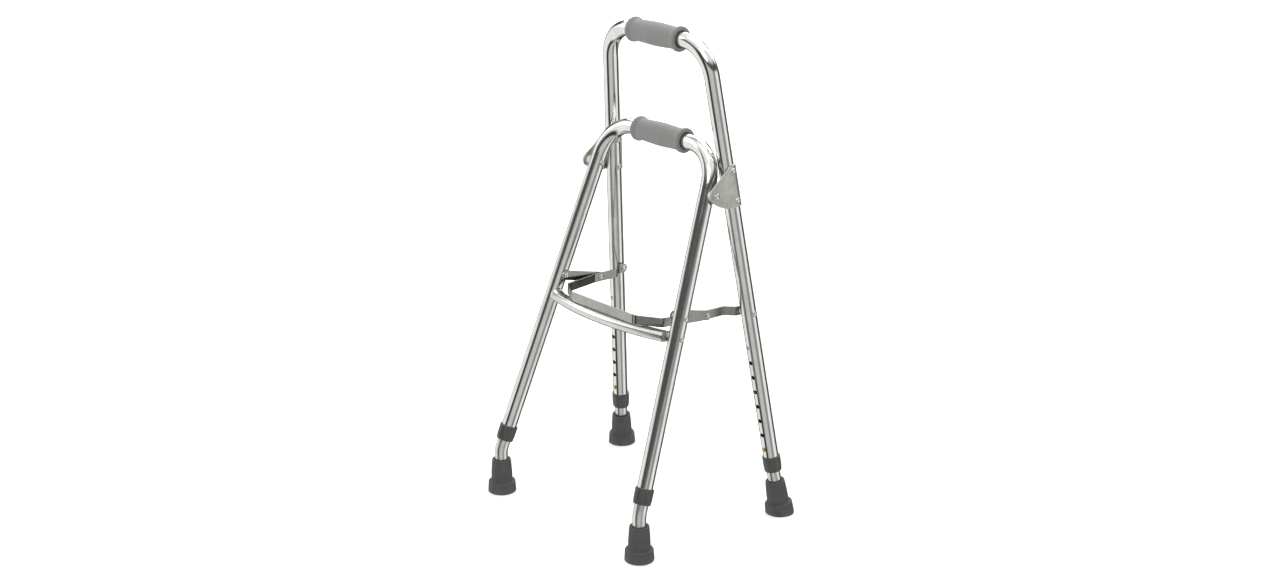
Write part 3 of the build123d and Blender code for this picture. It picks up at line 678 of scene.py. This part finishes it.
class WALKER_OT_collars(bpy.types.Operator):
    """Build the moulded collars at the ends of the outer legs"""
    bl_idname = "walker.collars"
    bl_label = "Leg collars"

    def execute(self, context):
        size = sizes()
        for tag in LEG_TAGS:
            kind = tag.split("_")[0]
            outer, height = size.collar_radius, size.collar_height
            bore = size.tube_radius + COLLAR_SLACK
            guide = size.inner_radius + COLLAR_GUIDE_SLACK
            rim, foot = COLLAR_RIM_ROUND, COLLAR_FOOT_ROUND
            side = [(bore, height), (outer - 0.9 * MM, height)]
            side += arc((outer - rim, height - rim), rim, 90, 0, 4)
            side += [(outer, height * 0.62), (outer - 0.15 * MM, 7.5 * MM), (outer - 0.75 * MM, 2.6 * MM)]
            side += arc((outer - 0.75 * MM - foot, foot), foot, -5, -90, 6)
            side += [(guide + 0.4 * MM, 0.0), (guide, 0.5 * MM), (guide, COLLAR_SEAT), (bore, COLLAR_SEAT)]
            shell = turned(side, 80)
            tab_place = (-outer - 0.05 * MM, 0, height / 2 + 1 * MM)
            tab = rounded_block(COLLAR_TAB, tab_place, COLLAR_TAB_ROUND)
            bm = joined(shell, tab)
            start = leg_at(tag, BUTTON_HEIGHT[kind]) - leg_up(tag) * (COLLAR_DROP + height)
            bmesh.ops.transform(bm, matrix=placed(start, leg_up(tag), button_way(tag)), verts=bm.verts)
            piece = new_piece(f"collar_{tag}", bm, f"{kind}_frame",
                              material_for("collar_plastic"), 45)
            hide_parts(f"leg_collar_{tag}")
        return {"FINISHED"}


class WALKER_OT_buttons(bpy.types.Operator):
    """Build the domed brass snap buttons in the lowest holes"""
    bl_idname = "walker.buttons"
    bl_label = "Snap buttons"

    def execute(self, context):
        size = sizes()
        tube, r = size.tube_radius, size.button_radius
        flange, inside, outside = BUTTON_FLANGE
        crown = tube + BUTTON_STAND
        for tag in LEG_TAGS:
            kind = tag.split("_")[0]
            side = [(0.0, inside), (flange, inside), (flange, outside), (r, outside)]
            side += [(r, tube + 0.7 * MM)]
            side += arc((r - BUTTON_ROUND, tube + 0.9 * MM), BUTTON_ROUND, 0, 70, 6)
            side += [(r * 0.42, tube + 2.32 * MM), (r * 0.2, crown), (0.0, crown)]
            bm = turned(side, 48)
            at = leg_at(tag, BUTTON_HEIGHT[kind])
            bmesh.ops.transform(bm, matrix=placed(at, button_way(tag)), verts=bm.verts)
            piece = new_piece(f"button_{tag}", bm, f"button_{tag}",
                              material_for("button_brass"), 50)
            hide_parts(f"snap_button_{tag}")
        return {"FINISHED"}


class WALKER_OT_springs(bpy.types.Operator):
    """Build the sprung V clips behind the snap buttons"""
    bl_idname = "walker.springs"
    bl_label = "Button springs"

    def execute(self, context):
        for tag in LEG_TAGS:
            kind = tag.split("_")[0]
            route = [(CLIP_NEAR, CLIP_NEAR_END)]
            route += arc((CLIP_NEAR - CLIP_BEND, CLIP_BEND_RISE), CLIP_BEND, 0, CLIP_BEND_TURN, 10)
            route += [(CLIP_FAR, CLIP_FAR_END)]
            bm = bmesh.new()
            line = [bm.verts.new((out, -CLIP_WIDTH / 2, along)) for out, along in route]
            edges = [bm.edges.new(pair) for pair in zip(line, line[1:])]
            grown = bmesh.ops.extrude_edge_only(bm, edges=edges)["geom"]
            moved = [g for g in grown if isinstance(g, bmesh.types.BMVert)]
            bmesh.ops.translate(bm, vec=(0, CLIP_WIDTH, 0), verts=moved)
            bmesh.ops.recalc_face_normals(bm, faces=bm.faces)
            bmesh.ops.solidify(bm, geom=bm.faces[:], thickness=CLIP_THICKNESS)
            bmesh.ops.recalc_face_normals(bm, faces=bm.faces)
            at = leg_at(tag, BUTTON_HEIGHT[kind])
            bmesh.ops.transform(bm, matrix=placed(at, leg_up(tag), button_way(tag)), verts=bm.verts)
            piece = new_piece(f"clip_{tag}", bm, f"{kind}_frame",
                              material_for("spring_steel"), 40)
            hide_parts(f"snap_spring_{tag}")
            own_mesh(piece)
        return {"FINISHED"}


class WALKER_OT_studio(bpy.types.Operator):
    """Set up the camera, the soft lights and the pale floor"""
    bl_idname = "walker.studio"
    bl_label = "Studio"

    def execute(self, context):
        self.camera(context)
        self.floor()
        self.lights(context)
        return {"FINISHED"}

    def camera(self, context):
        data = bpy.data.cameras.new("studio_camera")
        data.lens = CAMERA_LENS
        data.sensor_width = CAMERA_SENSOR
        data.clip_end = 50
        camera = bpy.data.objects.new("studio_camera", data)
        context.scene.collection.objects.link(camera)
        place = Vector(CAMERA_PLACE)
        aim = Vector(CAMERA_AIM)
        camera.location = place
        camera.rotation_euler = (aim - place).to_track_quat("-Z", "Y").to_euler()
        context.scene.camera = camera
        context.scene.view_settings.view_transform = "Standard"

    def floor(self):
        """A wide plain floor, which the metal doesn't mirror: it mirrors the softboxes instead."""
        bm = bmesh.new()
        bmesh.ops.create_circle(bm, cap_ends=True, segments=96, radius=FLOOR_RADIUS)
        mesh = bpy.data.meshes.new("studio_floor")
        bm.to_mesh(mesh)
        bm.free()
        floor = bpy.data.objects.new("studio_floor", mesh)
        bpy.context.scene.collection.objects.link(floor)
        mesh.materials.append(floor_paint())
        floor.visible_glossy = False

    def lights(self, context):
        """A surround of softboxes and black flags for the metal to mirror, and the soft lamps."""
        world = bpy.data.worlds.new("studio_world")
        world.use_nodes = True
        tree = world.node_tree
        tree.nodes.clear()
        where = add_node(tree, "ShaderNodeTexCoord").outputs["Generated"]
        way = add_node(tree, "ShaderNodeSeparateXYZ", links={"Vector": where})
        turn = add_node(tree, "ShaderNodeMath", {"operation": "ARCTAN2"},
                        {0: way.outputs["Y"], 1: way.outputs["X"]})
        shift = 0.5 - math.radians(CAMERA_SIDE) / math.tau
        part = add_node(tree, "ShaderNodeMath", {"operation": "MULTIPLY_ADD", 1: 1 / math.tau, 2: shift},
                        {0: turn.outputs[0]})
        whole = add_node(tree, "ShaderNodeMath", {"operation": "WRAP", 1: 1.0, 2: 0.0}, {0: part.outputs[0]})
        wall = add_node(tree, "ShaderNodeValToRGB", links={"Fac": whole.outputs[0]},
                        ramp=[(0.5 + side / 360, bright) for side, bright in SURROUND])
        low, high = CEILING_BLEND
        overhead = add_node(tree, "ShaderNodeMapRange", {"From Min": low, "From Max": high},
                            {"Value": way.outputs["Z"]})
        ceiling = add_node(tree, "ShaderNodeValToRGB", links={"Fac": way.outputs["Z"]}, ramp=CEILING)
        around = add_node(tree, "ShaderNodeMix", {"data_type": "RGBA"},
                          {0: overhead.outputs["Result"],
                           6: wall.outputs["Color"],
                           7: ceiling.outputs["Color"]})
        seen = add_node(tree, "ShaderNodeLightPath")
        shown = add_node(tree, "ShaderNodeMix", {"data_type": "RGBA", 7: BACKDROP},
                         {0: seen.outputs["Is Camera Ray"], 6: around.outputs[2]})
        back = add_node(tree, "ShaderNodeBackground", {"Strength": 1.0}, {"Color": shown.outputs[2]})
        add_node(tree, "ShaderNodeOutputWorld", links={"Surface": back.outputs["Background"]})
        context.scene.world = world
        for name, place, aim, energy, width in LAMPS:
            data = bpy.data.lights.new(name, "AREA")
            data.energy = energy
            data.size = width
            light = bpy.data.objects.new(name, data)
            light.location = place
            light.rotation_euler = (Vector(aim) - Vector(place)).to_track_quat("-Z", "Y").to_euler()
            context.scene.collection.objects.link(light)


class WALKER_PT_panel(bpy.types.Panel):
    """The steps of the walking frame, in order"""
    bl_idname = "WALKER_PT_panel"
    bl_label = "Walking Frame"
    bl_space_type = "VIEW_3D"
    bl_region_type = "UI"
    bl_category = "Walking Frame"

    def draw(self, context):
        layout = self.layout
        for group in (context.scene.walker_sizes, context.scene.walker_finishes):
            column = layout.column()
            for key in group.bl_rna.properties.keys():
                if key not in {"rna_type", "name"}:
                    column.prop(group, key)
        for operator in STEPS:
            layout.operator(operator.bl_idname)


STEPS = (
    WALKER_OT_cad_finishes,
    WALKER_OT_grips,
    WALKER_OT_tips,
    WALKER_OT_collars,
    WALKER_OT_buttons,
    WALKER_OT_springs,
    WALKER_OT_studio,
)
CLASSES = (WALKER_PG_sizes, WALKER_PG_finishes, *STEPS, WALKER_PT_panel)


def register():
    for item in CLASSES:
        bpy.utils.register_class(item)
    bpy.types.Scene.walker_sizes = bpy.props.PointerProperty(type=WALKER_PG_sizes)
    bpy.types.Scene.walker_finishes = bpy.props.PointerProperty(type=WALKER_PG_finishes)


def unregister():
    del bpy.types.Scene.walker_finishes
    del bpy.types.Scene.walker_sizes
    for item in reversed(CLASSES):
        bpy.utils.unregister_class(item)


def main():
    register()
    for operator in STEPS:
        group, name = operator.bl_idname.split(".")
        getattr(getattr(bpy.ops, group), name)()


if __name__ == "__main__":
    main()
